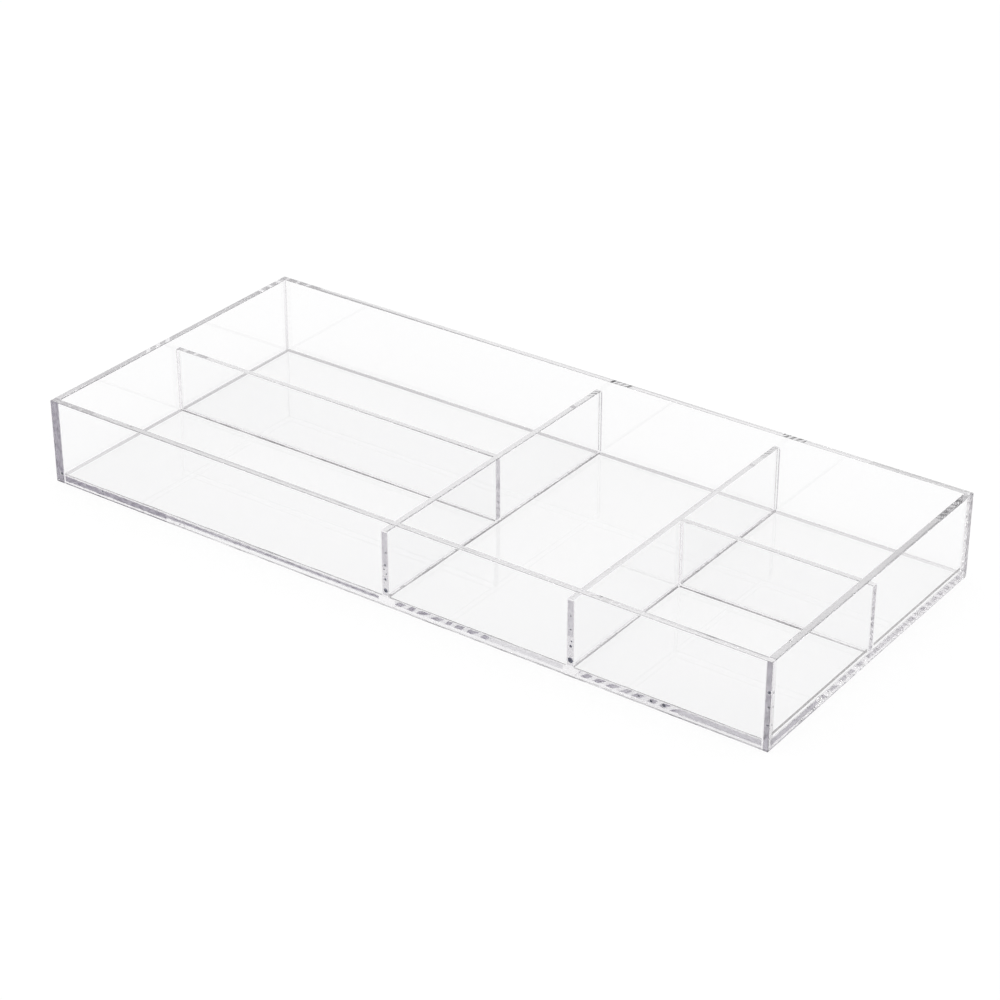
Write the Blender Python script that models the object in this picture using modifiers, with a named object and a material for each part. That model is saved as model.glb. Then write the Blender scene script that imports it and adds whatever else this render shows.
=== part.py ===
"""Clear acrylic divided tray for a drawer or a vanity top.

The tray is cut from flat cast sheet and put together with solvent cement, with no screws or clips.
Four walls stand on edge around a base plate that is let in between them, flush with their lower edges.
The front and back walls run the full length, and the end walls butt between them. Two cross dividers
span the depth, and a long divider splits the bay at each end in two, so that the tray has five bays.
The dividers are thinner than the walls and stop short of the rim. Every free edge is eased by a fine
polished arris, while the edges inside a joint stay square so that the sheets meet flush.

Metres, +Z up. The origin is the middle of the underside, +X runs along the length and +Y to the back.
"""

from dataclasses import dataclass

import bmesh
import bpy
from mathutils import Vector

# Overall size of the tray
TRAY_LENGTH = 0.4064
TRAY_DEPTH = 0.1778
TRAY_HEIGHT = 0.04445

# Sheet stock
WALL_SHEET = 0.0035
BASE_SHEET = 0.004
DIVIDER_SHEET = 0.003

# Layout of the bays
RIM_TO_DIVIDER_TOP = 0.0061
LEFT_CROSS_SHARE = 0.5
RIGHT_CROSS_SHARE = 0.75
LEFT_LONG_SHARE = 0.5
RIGHT_LONG_SHARE = 0.5

# Cement line between two sheets, and the polished arris on a free edge
CEMENT_LINE = 0.0003
ARRIS_WIDTH = 0.0004
ARRIS_SEGMENTS = 2

# Finish of the sheet
CLEAR_TINT = (0.93, 0.95, 0.97, 1.0)
POLISH_ROUGHNESS = 0.04
ACRYLIC_IOR = 1.49

PART_COLLECTION = "divided_tray"


@dataclass(frozen=True)
class Sheet:
    """A flat rectangular sheet where it stands in the tray, from its lowest to its highest corner."""

    name: str
    low: Vector
    high: Vector

    @property
    def size(self):
        """Length along each axis."""
        return self.high - self.low

    @property
    def centre(self):
        """Middle of the sheet."""
        return (self.low + self.high) / 2

    def reaches(self, point, reach):
        """True if the point lies in the sheet, or outside it by no more than reach along any axis."""
        return all(low - reach <= value <= high + reach
                   for low, value, high in zip(self.low, point, self.high))


def spanning(name, x, y, z):
    """Sheet that spans x, y and z, each given as its lower and its upper end."""
    return Sheet(name, Vector((x[0], y[0], z[0])), Vector((x[1], y[1], z[1])))


def about(middle, thickness):
    """Ends of a thickness laid evenly about its middle."""
    return middle - thickness / 2, middle + thickness / 2


def between(lower, upper, axis):
    """Ends of what is cemented between two sheets along one axis, a cement line clear of each."""
    return lower.high[axis] + CEMENT_LINE, upper.low[axis] - CEMENT_LINE


def long_walls():
    """Front and back walls, which run the full length and height."""
    length = about(0, TRAY_LENGTH)
    height = (0, TRAY_HEIGHT)
    outer = TRAY_DEPTH / 2
    inner = outer - WALL_SHEET
    front = spanning("front_wall", length, (-outer, -inner), height)
    back = spanning("back_wall", length, (inner, outer), height)
    return front, back


def end_walls(front, back):
    """Left and right end walls, butted between the front and back walls and flush with their ends."""
    depth = between(front, back, 1)
    height = (0, TRAY_HEIGHT)
    outer = TRAY_LENGTH / 2
    inner = outer - WALL_SHEET
    left = spanning("left_end_wall", (-outer, -inner), depth, height)
    right = spanning("right_end_wall", (inner, outer), depth, height)
    return left, right


def base_between(front, back, left, right):
    """Base plate let in between the four walls, with its underside flush with their lower edges."""
    return spanning("base_plate", between(left, right, 0), between(front, back, 1), (0, BASE_SHEET))


def divider_height(base):
    """Lower and upper edge of a divider that is cemented down on the base plate."""
    return base.high.z + CEMENT_LINE, TRAY_HEIGHT - RIM_TO_DIVIDER_TOP


def cross_divider(name, length_share, base, front, back):
    """Divider across the whole depth, centred at a share of the tray's length from its left end."""
    middle = TRAY_LENGTH * length_share - TRAY_LENGTH / 2
    return spanning(name, about(middle, DIVIDER_SHEET), between(front, back, 1), divider_height(base))


def long_divider(name, depth_share, base, left, right):
    """Divider from one upright sheet to the next, centred at a share of the depth from the front."""
    middle = TRAY_DEPTH * depth_share - TRAY_DEPTH / 2
    return spanning(name, between(left, right, 0), about(middle, DIVIDER_SHEET), divider_height(base))


def clear_acrylic(name):
    """Clear cast acrylic for one sheet."""
    material = bpy.data.materials.new(name + "_acrylic")
    material.use_nodes = True
    shader = material.node_tree.nodes["Principled BSDF"]
    shader.inputs["Base Color"].default_value = CLEAR_TINT
    shader.inputs["Roughness"].default_value = POLISH_ROUGHNESS
    shader.inputs["Metallic"].default_value = 0
    shader.inputs["IOR"].default_value = ACRYLIC_IOR
    shader.inputs["Transmission Weight"].default_value = 1
    material.diffuse_color = CLEAR_TINT
    return material


def squared_board(sheet, neighbours):
    """Block of the sheet's size about its own middle, weighted for an arris on each free edge.

    An edge is free where no neighbour comes within a joint's reach of its middle.
    """
    joint_reach = 2 * CEMENT_LINE
    mesh = bpy.data.meshes.new(sheet.name)
    board = bmesh.new()
    bmesh.ops.create_cube(board, size=1)
    bmesh.ops.scale(board, vec=sheet.size, verts=board.verts)
    weight = board.edges.layers.float.new("bevel_weight_edge")
    for edge in board.edges:
        middle = sheet.centre + (edge.verts[0].co + edge.verts[1].co) / 2
        jointed = any(other.reaches(middle, joint_reach) for other in neighbours)
        edge[weight] = 0 if jointed else 1
    board.to_mesh(mesh)
    board.free()
    return mesh


def cut_sheet(sheet, neighbours, collection):
    """One sheet in its place, in clear acrylic, with its free edges eased."""
    mesh = squared_board(sheet, neighbours)
    mesh.materials.append(clear_acrylic(sheet.name))
    piece = bpy.data.objects.new(sheet.name, mesh)
    piece.location = sheet.centre
    arris = piece.modifiers.new("arris", "BEVEL")
    arris.limit_method = "WEIGHT"
    arris.width = ARRIS_WIDTH
    arris.segments = ARRIS_SEGMENTS
    collection.objects.link(piece)


def clear_scene():
    """Removes every object, so that only the tray is left in the file."""
    for thing in list(bpy.data.objects):
        bpy.data.objects.remove(thing, do_unlink=True)


def build():
    """Lays the sheets out against one another, then cuts each one."""
    clear_scene()
    collection = bpy.data.collections.new(PART_COLLECTION)
    bpy.context.scene.collection.children.link(collection)

    front, back = long_walls()
    left, right = end_walls(front, back)
    base = base_between(front, back, left, right)
    left_cross = cross_divider("left_cross_divider", LEFT_CROSS_SHARE, base, front, back)
    right_cross = cross_divider("right_cross_divider", RIGHT_CROSS_SHARE, base, front, back)
    left_long = long_divider("left_long_divider", LEFT_LONG_SHARE, base, left, left_cross)
    right_long = long_divider("right_long_divider", RIGHT_LONG_SHARE, base, right_cross, right)

    sheets = [base, front, back, left, right, left_cross, right_cross, left_long, right_long]
    for sheet in sheets:
        neighbours = [other for other in sheets if other is not sheet]
        cut_sheet(sheet, neighbours, collection)


build()
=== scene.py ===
"""Looks of the clear acrylic divided tray: cast sheets, polished rims, sawn ends and cemented joints.

Each cast sheet of the tray is modelled as it was cut and bonded. Its broad faces are polished and its
free edges flame polished, but for one end that was left as it was sawn and the feet, which are rubbed.
Where one sheet's edge is cemented to another's face, the two surfaces let light straight through, apart
from the clouded cement, the saw marks and the air bubbles that were caught between them. Some greys are
painted shade: along the rims, in the dry frost, on a line along some feet, in the darker cement runs and
in the dark bubbles. The white of the coarse bubbles is a painted reflection.
"""

import logging
import math
from dataclasses import dataclass, field
from enum import Enum

import bmesh
import bpy
from mathutils import Matrix, Vector

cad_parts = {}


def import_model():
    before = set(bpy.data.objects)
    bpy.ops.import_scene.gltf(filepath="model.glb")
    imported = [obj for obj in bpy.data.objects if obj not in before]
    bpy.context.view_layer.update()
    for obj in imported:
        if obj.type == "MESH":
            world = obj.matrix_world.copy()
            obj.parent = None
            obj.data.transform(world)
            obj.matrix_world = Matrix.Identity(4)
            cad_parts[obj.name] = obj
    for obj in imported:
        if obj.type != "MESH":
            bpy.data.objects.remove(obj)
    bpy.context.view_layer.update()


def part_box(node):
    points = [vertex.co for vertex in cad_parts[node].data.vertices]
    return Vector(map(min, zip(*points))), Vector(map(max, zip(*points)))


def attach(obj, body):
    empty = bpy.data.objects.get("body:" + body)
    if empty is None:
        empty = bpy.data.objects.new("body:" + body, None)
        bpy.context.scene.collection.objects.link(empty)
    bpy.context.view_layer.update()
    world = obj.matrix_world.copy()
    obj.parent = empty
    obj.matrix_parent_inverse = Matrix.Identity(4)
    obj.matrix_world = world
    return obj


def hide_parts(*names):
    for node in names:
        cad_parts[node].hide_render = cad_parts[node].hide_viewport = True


MILLIMETRE = 0.001

# How strongly cast acrylic bends light
REFRACTION = 1.49

# Light that a sheet guides from end to end meets its faces this often at most
GUIDED_BOUNCES = 160

# Points this near a plane lie on it, when it is cut and when a face is looked up
CUT_REACH = 1e-7
FLAT_REACH = 1e-6

# From one end to the other, in shares
WHOLE = (0.0, 1.0)

LOG = logging.getLogger("divided_tray")

Colour = tuple[float, float, float]
Pair = tuple[float, float]
Socket = bpy.types.NodeSocket


class Side(Enum):
    """The six sides of a sheet, each as its axis and the way it faces."""

    LEFT = (0, -1)
    RIGHT = (0, 1)
    FRONT = (1, -1)
    BACK = (1, 1)
    BOTTOM = (2, -1)
    TOP = (2, 1)

    @property
    def axis(self) -> int:
        """Axis that the side is square to."""
        return self.value[0]

    @property
    def sign(self) -> int:
        """Which way along its axis the side faces."""
        return self.value[1]

    @property
    def opposite(self) -> "Side":
        """The side that faces the other way."""
        return Side((self.axis, -self.sign))


# One side of the sheet that stands on a CAD node
Edge = tuple[str, Side]


class Surface(Enum):
    """Kinds of surface on a sheet, numbered as the sheet's material slots."""

    POLISHED = 0
    RIM = 1
    SAWN = 2
    BONDED = 3
    CEMENTED = 4
    FOOT = 5


def axes_across(axis: int) -> list[int]:
    """The two axes square to an axis."""
    return [number for number in range(3) if number != axis]


def finished_mesh(shape: bmesh.types.BMesh, name: str) -> bpy.types.Mesh:
    """Turns a shape into a mesh and lets the shape go.

    Args:
        shape: The shape that was built up.
        name: The mesh's name.

    Returns:
        The mesh.
    """
    mesh = bpy.data.meshes.new(name)
    shape.to_mesh(mesh)
    shape.free()
    return mesh


def in_scene(name: str, data: bpy.types.ID) -> bpy.types.Object:
    """Adds an object to the scene.

    Args:
        name: The object's name.
        data: Its mesh or camera.

    Returns:
        The object.
    """
    added = bpy.data.objects.new(name, data)
    bpy.context.scene.collection.objects.link(added)
    return added


class TreeWriter:
    """Writes a node tree, a node at a time."""

    def __init__(self, tree: bpy.types.NodeTree) -> None:
        """Takes up a tree."""
        self.tree = tree

    def node(self, kind: str, inputs: dict | None = None, **settings) -> bpy.types.Node:
        """Adds a node.

        Args:
            kind: The node's type name, such as ShaderNodeMath.
            inputs: Values or output sockets by input name or number.
            **settings: Properties of the node itself.

        Returns:
            The new node.
        """
        made = self.tree.nodes.new(kind)
        for key, value in settings.items():
            setattr(made, key, value)
        for key, value in (inputs or {}).items():
            socket = made.inputs[key]
            if isinstance(value, Socket):
                self.tree.links.new(value, socket)
            else:
                socket.default_value = value
        return made

    def calc(self, operation: str, *values: float | Socket) -> Socket:
        """The outcome of a sum, such as ADD, on one value or more."""
        return self.node("ShaderNodeMath", dict(enumerate(values)), operation=operation).outputs[0]

    def spread(self, value: Socket, band: tuple, onto: tuple = WHOLE) -> Socket:
        """Spreads a band of values over a range, and holds what lies outside at the range's ends.

        Args:
            value: The value to spread.
            band: Start and end of the band.
            onto: Start and end of the range.

        Returns:
            The spread value.
        """
        return self.node("ShaderNodeMapRange", {
            "Value": value, "From Min": band[0], "From Max": band[1],
            "To Min": onto[0], "To Max": onto[1]}).outputs["Result"]

    def noise(self, place: Socket, repeats: float = 1.0, detail: float = 1.0) -> Socket:
        """Cloudy noise about one half, with so many repeats to a unit and finer layers of detail."""
        return self.node("ShaderNodeTexNoise", {
            "Vector": place, "Scale": repeats, "Detail": detail}).outputs["Fac"]

    def stretched(self, way: Socket, factor: Socket) -> Socket:
        """A vector times a number."""
        return self.node("ShaderNodeVectorMath", {0: way, "Scale": factor}, operation="SCALE").outputs[0]


def rgba(colour: Colour | Socket) -> tuple | Socket:
    """A colour in the form that a node's input takes."""
    return colour if isinstance(colour, Socket) else (*colour, 1.0)


class Shading(TreeWriter):
    """Writes a material's node tree."""

    # How far the saw's marks drift to and fro, how strong that leaves them, and where in each wave they lie
    DRIFT_REPEATS = 0.5
    DRIFT_BAND = (0.35, 0.6)
    MARK_STRENGTH = (0.65, 1.0)
    MARK_BAND = (-0.45, 0.05)

    def __init__(self, name: str) -> None:
        """Starts an empty material.

        Args:
            name: The material's name.
        """
        self.material = bpy.data.materials.new(name)
        self.material.use_nodes = True
        super().__init__(self.material.node_tree)
        self.tree.nodes.clear()

    def finish(self, surface: Socket) -> bpy.types.Material:
        """Links the surface shader to the output and gives the finished material."""
        self.node("ShaderNodeOutputMaterial", {"Surface": surface})
        return self.material

    def place(self) -> Socket:
        """The place on the piece, in metres."""
        return self.node("ShaderNodeTexCoord").outputs["Object"]

    def mark(self, name: str) -> Socket:
        """The value that a face carries under a name."""
        return self.node("ShaderNodeAttribute", attribute_name=name).outputs["Fac"]

    def grain(self, along: float, across: float) -> Socket:
        """Places on the sheet's edge map, in repeats.

        Args:
            along: Repeats per metre along the edge.
            across: Repeats per metre across the edge.

        Returns:
            The scaled place.
        """
        edge_map = self.node("ShaderNodeUVMap", uv_map=AcrylicSheet.EDGE_MAP)
        return self.node("ShaderNodeMapping", {
            "Vector": edge_map.outputs["UV"], "Scale": (along, across, 1.0)}).outputs["Vector"]

    def chatter(self, slant: float) -> Socket:
        """Slanting marks at an even distance along the edge, where the saw chattered.

        Args:
            slant: How far a mark runs along the edge for each step across it.

        Returns:
            1 in a mark and wherever the saw ran quietly, 0 between two marks.
        """
        turned = self.stretched(self.grain(1.0, slant), self.mark(AcrylicSheet.CHATTER_REPEATS))
        place = self.node("ShaderNodeSeparateXYZ", {0: turned})
        drift = self.noise(turned, self.DRIFT_REPEATS)
        along = self.calc("ADD", place.outputs["X"], place.outputs["Y"])
        wave = self.calc("SINE", self.calc("MULTIPLY", self.calc("ADD", along, drift), math.tau))
        strength = self.spread(drift, self.DRIFT_BAND, self.MARK_STRENGTH)
        gap = self.calc("SUBTRACT", 1.0, self.spread(wave, self.MARK_BAND, (0.0, strength)))
        return self.calc("SUBTRACT", 1.0, self.calc("MULTIPLY", gap, self.mark(AcrylicSheet.CHATTER)))

    def grazing(self, band: Pair) -> Socket:
        """How nearly a ray grazes the surface: 0 up to the band's start, 1 from its end."""
        return self.spread(self.node("ShaderNodeLayerWeight").outputs["Facing"], band)

    def blend(self, share: Socket, first: Colour | Socket, second: Colour) -> Socket:
        """Mixes a share of the second colour into the first."""
        return self.node("ShaderNodeMix", {
            "Factor": share, 6: rgba(first), 7: rgba(second)}, data_type="RGBA").outputs[2]

    def ripple(self, height: Socket, depth: float) -> Socket:
        """Normals of a surface that rises and falls with the height, by a depth in metres."""
        return self.node("ShaderNodeBump", {
            "Height": height, "Distance": depth, "Strength": 1.0}).outputs["Normal"]

    def plastic(self, tint: Colour | Socket, roughness: float, normal: Socket | None = None,
                refraction: float = REFRACTION, clearness: float = 1.0) -> Socket:
        """Clear plastic.

        Args:
            tint: Colour that it gives to light.
            roughness: How dull its surface is.
            normal: Normals of a surface that isn't as even as the mesh.
            refraction: How strongly it bends light.
            clearness: Share of the light that it lets in.

        Returns:
            The shader.
        """
        made = self.node("ShaderNodeBsdfPrincipled", {
            "Base Color": rgba(tint), "Roughness": roughness, "IOR": refraction,
            "Transmission Weight": clearness})
        if normal is not None:
            self.tree.links.new(normal, made.inputs["Normal"])
        return made.outputs["BSDF"]

    def straight(self, tint: Colour | Socket) -> Socket:
        """Lets light go straight on, tinted."""
        return self.node("ShaderNodeBsdfTransparent", {"Color": rgba(tint)}).outputs["BSDF"]

    def mixed(self, share: float | Socket, first: Socket, second: Socket) -> Socket:
        """Mixes a share of the second shader into the first."""
        return self.node("ShaderNodeMixShader", {0: share, 1: first, 2: second}).outputs["Shader"]


@dataclass(frozen=True)
class PolishedFace:
    """The glossy broad face of cast sheet, with the faint ripple of the casting."""

    name: str = "polished_face"
    tint: Colour = (0.978, 0.978, 0.980)
    ripple_repeats: float = 22.0
    ripple_height: float = 0.01 * MILLIMETRE

    def material(self) -> bpy.types.Material:
        """Builds the material.

        Returns:
            Clear acrylic with a barely rippled face.
        """
        shading = Shading(self.name)
        ripple = shading.noise(shading.place(), self.ripple_repeats, detail=2.0)
        normal = shading.ripple(ripple, self.ripple_height)
        return shading.finish(shading.plastic(self.tint, 0.0, normal))


@dataclass(frozen=True)
class FlamedEdge:
    """A sawn edge that was scraped and flame polished: glossy, with shallow waves left along it.

    Its grey is painted shade: greyer along some walls, and on the rounded borders more than on the flat
    core, as the rims look under the studio light. It is nearly black in the nicks that the flame left open.
    """

    name: str = "flame_polished_rim"
    pale: Colour = (0.94, 0.935, 0.945)
    dull: Colour = (0.38, 0.375, 0.385)
    nick: Colour = (0.004, 0.004, 0.005)
    roughness: float = 0.04
    wave_repeats: Pair = (25.0, 75.0)
    wave_height: float = 0.02 * MILLIMETRE
    nick_slant: float = 0.4

    def material(self) -> bpy.types.Material:
        """Builds the material.

        Returns:
            Clear acrylic with waves and nicks along the edge.
        """
        shading = Shading(self.name)
        waves = shading.noise(shading.grain(*self.wave_repeats), detail=2.0)
        # Painted shade: grey mixed in by the rim's shade mark
        tint = shading.blend(shading.mark(AcrylicSheet.RIM_SHADE), self.pale, self.dull)
        missed = shading.mark(AcrylicSheet.DRYNESS)
        nicks = shading.calc("MULTIPLY", missed, shading.chatter(self.nick_slant))
        marked = shading.blend(nicks, tint, self.nick)
        normal = shading.ripple(waves, self.wave_height)
        return shading.finish(shading.plastic(marked, self.roughness, normal))


@dataclass(frozen=True)
class SawnEnd:
    """End grain as the saw left it: frosted, with fine lines across the sheet's thickness."""

    name: str = "sawn_end"
    pale: Colour = (1.0, 0.99, 1.0)
    dull: Colour = (0.64, 0.63, 0.66)
    roughness: float = 0.42
    line_repeats: Pair = (520.0, 130.0)
    line_band: Pair = (0.48, 0.58)
    line_height: float = 0.08 * MILLIMETRE

    def material(self) -> bpy.types.Material:
        """Builds the material.

        Returns:
            Frosted acrylic with saw lines.
        """
        shading = Shading(self.name)
        lines = shading.noise(shading.grain(*self.line_repeats))
        tint = shading.blend(shading.spread(lines, self.line_band), self.pale, self.dull)
        normal = shading.ripple(lines, self.line_height)
        return shading.finish(shading.plastic(tint, self.roughness, normal))


@dataclass(frozen=True)
class RubbedFoot:
    """The lower edge of a wall, rubbed flat on the floor.

    Looked at steeply it lets the floor's light in, dulled by the rubbing. At a grazing angle the fine
    scratches close up and it mirrors like a polished face. A dark line of painted shade may run along it,
    for the floor's shadow seen through the foot.
    """

    name: str = "rubbed_foot"
    pale: Colour = (0.95, 0.942, 0.95)
    dull: Colour = (0.60, 0.59, 0.605)
    glassy: Colour = (0.99, 0.987, 0.99)
    roughness: float = 0.3
    glassy_roughness: float = 0.02
    grazing_band: Pair = (0.35, 0.6)
    contact_share: float = 0.75
    patch_repeats: float = 14.0
    wear_way: tuple[float, float, float] = (-1.6, 2.6, 0.0)
    wear_band: Pair = (0.2, 0.9)
    # Painted shade: the dark line along the foot, for the floor's shadow seen through it
    shade_line_tint: Colour = (0.05, 0.045, 0.06)
    shade_line_fade: Pair = (0.24, 0.1)
    shade_line_repeats: float = 55.0
    shade_line_wander: Pair = (-0.3, 0.3)
    shade_line_band: Pair = (0.3, 0.65)
    shade_line_strength: Pair = (0.2, 0.7)

    def material(self) -> bpy.types.Material:
        """Builds the material.

        Returns:
            Mostly clear contact with the floor, partly frosted.
        """
        shading = Shading(self.name)
        place = shading.place()
        patches = shading.noise(place, self.patch_repeats)
        side = shading.node("ShaderNodeVectorMath", {0: place, 1: self.wear_way}, operation="DOT_PRODUCT")
        worn = shading.spread(shading.calc("ADD", patches, side.outputs["Value"]), self.wear_band)
        tint = shading.blend(worn, self.pale, self.dull)
        rubbed = shading.mixed(
            self.contact_share, shading.plastic(tint, self.roughness), shading.straight(tint))
        glassy = shading.plastic(self.glassy, self.glassy_roughness)
        both = shading.mixed(shading.grazing(self.grazing_band), rubbed, glassy)
        return shading.finish(shading.mixed(self._painted_shade_line(shading), both, shading.straight(self.shade_line_tint)))

    def _painted_shade_line(self, shading: Shading) -> Socket:
        """A dark line of painted shade along the foot, for the floor's shadow seen through it, stronger in
        some places than in others.

        Args:
            shading: The material's tree.

        Returns:
            0 beside the line, up to 1 on it.
        """
        wear = shading.noise(shading.grain(self.shade_line_repeats, 0.0), detail=3.0)
        wander = shading.spread(wear, WHOLE, self.shade_line_wander)
        aside = shading.calc("ADD", shading.mark(AcrylicSheet.SEEP_HEIGHT), wander)
        on_line = shading.spread(shading.calc("ABSOLUTE", aside), self.shade_line_fade)
        return shading.calc("MULTIPLY", on_line, shading.spread(wear, self.shade_line_band, self.shade_line_strength))


@dataclass(frozen=True)
class BondedPatch:
    """Where a neighbour's edge is fused to this face, so that light goes straight on."""

    name: str = "bonded_patch"
    tint: Colour = (0.998, 0.997, 0.998)

    def material(self) -> bpy.types.Material:
        """A surface that neither bends nor mirrors light."""
        shading = Shading(self.name)
        return shading.finish(shading.straight(self.tint))


@dataclass(frozen=True)
class CementedEdge:
    """A sawn edge under solvent cement.

    It is clear where the sheets fused. In a dry stretch the saw's frost still shows with darker pits in it,
    between the line that cement seeped up to from below and the line that it wicked down to from
    above. The frost and its pits are tinted dark lavender: painted shade, as frost seen from inside the
    sheet looks dark. Where the saw chattered, the dry places are separate marks a few millimetres apart.
    """

    name: str = "cemented_edge"
    clear_tint: Colour = (0.992, 0.988, 0.992)
    shaded_frost_tint: Colour = (0.165, 0.15, 0.195)
    shaded_pit_tint: Colour = (0.06, 0.05, 0.08)
    roughness: float = 0.35
    line_repeats: Pair = (100.0, 1600.0)
    line_band: Pair = (0.35, 0.65)
    pit_repeats: Pair = (372.0, 620.0)
    pit_band: Pair = (0.44, 0.62)
    grazing_band: Pair = (0.3, 0.5)
    chatter_slant: float = -1.4
    wander: Pair = (-0.1, 0.1)
    border: float = 0.035
    fused_frost: Pair = (0.0, 0.06)
    dry_frost: float = 0.92

    def material(self) -> bpy.types.Material:
        """Builds the material.

        Returns:
            A mix of clear and frosted, laid out by dryness, saw lines and pits.
        """
        shading = Shading(self.name)
        lines = shading.noise(shading.grain(*self.line_repeats), detail=3.0)
        pits = shading.noise(shading.grain(*self.pit_repeats), detail=2.0)
        above = self._past_line(shading, AcrylicSheet.SEEP_HEIGHT, pits)
        below = self._past_line(shading, AcrylicSheet.DRY_DEPTH, pits)
        between = shading.calc("MULTIPLY", above, below)
        broken = shading.calc("MULTIPLY", between, shading.chatter(self.chatter_slant))
        dry = shading.calc("MULTIPLY", shading.mark(AcrylicSheet.DRYNESS), broken)
        frost = shading.spread(lines, self.line_band, self.fused_frost)
        amount = shading.calc("MULTIPLY_ADD", dry, self.dry_frost, frost)
        capped = shading.node("ShaderNodeClamp", {"Value": amount})
        pitted = shading.calc("MULTIPLY", shading.spread(pits, self.pit_band), dry)
        # Painted shade: the dry frost and its pits are tinted dark
        frosted = shading.plastic(shading.blend(pitted, self.shaded_frost_tint, self.shaded_pit_tint), self.roughness)
        steep = shading.calc("SUBTRACT", 1.0, shading.grazing(self.grazing_band))
        seen = shading.calc("MULTIPLY", capped.outputs[0], steep)
        return shading.finish(shading.mixed(seen, shading.straight(self.clear_tint), frosted))

    def _past_line(self, shading: Shading, distance: str, unevenness: Socket) -> Socket:
        """Tells the dry side of a cement line from the fused side, with an uneven border.

        Args:
            shading: The material's tree.
            distance: Name of the distance past the line, which is a share of the edge's width.
            unevenness: Noise that shifts the line.

        Returns:
            1 on the dry side, 0 on the fused side.
        """
        shift = shading.spread(unevenness, WHOLE, self.wander)
        uneven = shading.calc("ADD", shading.mark(distance), shift)
        reach = shading.calc("MULTIPLY", shading.mark(AcrylicSheet.SOFTNESS), self.border)
        return shading.spread(uneven, (shading.calc("MULTIPLY", reach, -1.0), reach))


@dataclass(frozen=True)
class Contact:
    """A patch of a sheet's broad face that a neighbour's edge is cemented to."""

    side: Side
    low: Vector
    high: Vector


@dataclass(frozen=True)
class Corner:
    """An inside corner beside a cemented edge: a line, and the two ways out into the bay."""

    node: str
    side: Side
    start: Vector
    end: Vector
    first: Vector
    second: Vector

    @property
    def was_fed(self) -> bool:
        """Tells where the maker ran the cement in.

        Returns:
            True along the front wall, and on one side of each foot.
        """
        if self.node == "base_plate":
            return self.side is Side.FRONT
        return self.side is Side.BOTTOM and (self.first.x > 0 or self.first.y < 0)


@dataclass(frozen=True)
class DryStretch:
    """A stretch of an edge that the cement did not reach, or that the flame did not polish.

    It runs from start to end as shares of the edge's length, and from the seep line up to the wick line as
    shares of its width, or past both borders if they aren't given. Chatter says how far the dry place is
    broken up into separate saw marks, a pitch apart, and softness how gently the borders fade.
    """

    start: float
    end: float
    dryness: float = 0.0
    chatter: float = 0.0
    pitch: float = 6.8 * MILLIMETRE
    seep: float = -0.5
    wick: float = 1.5
    softness: float = 1.0


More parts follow.
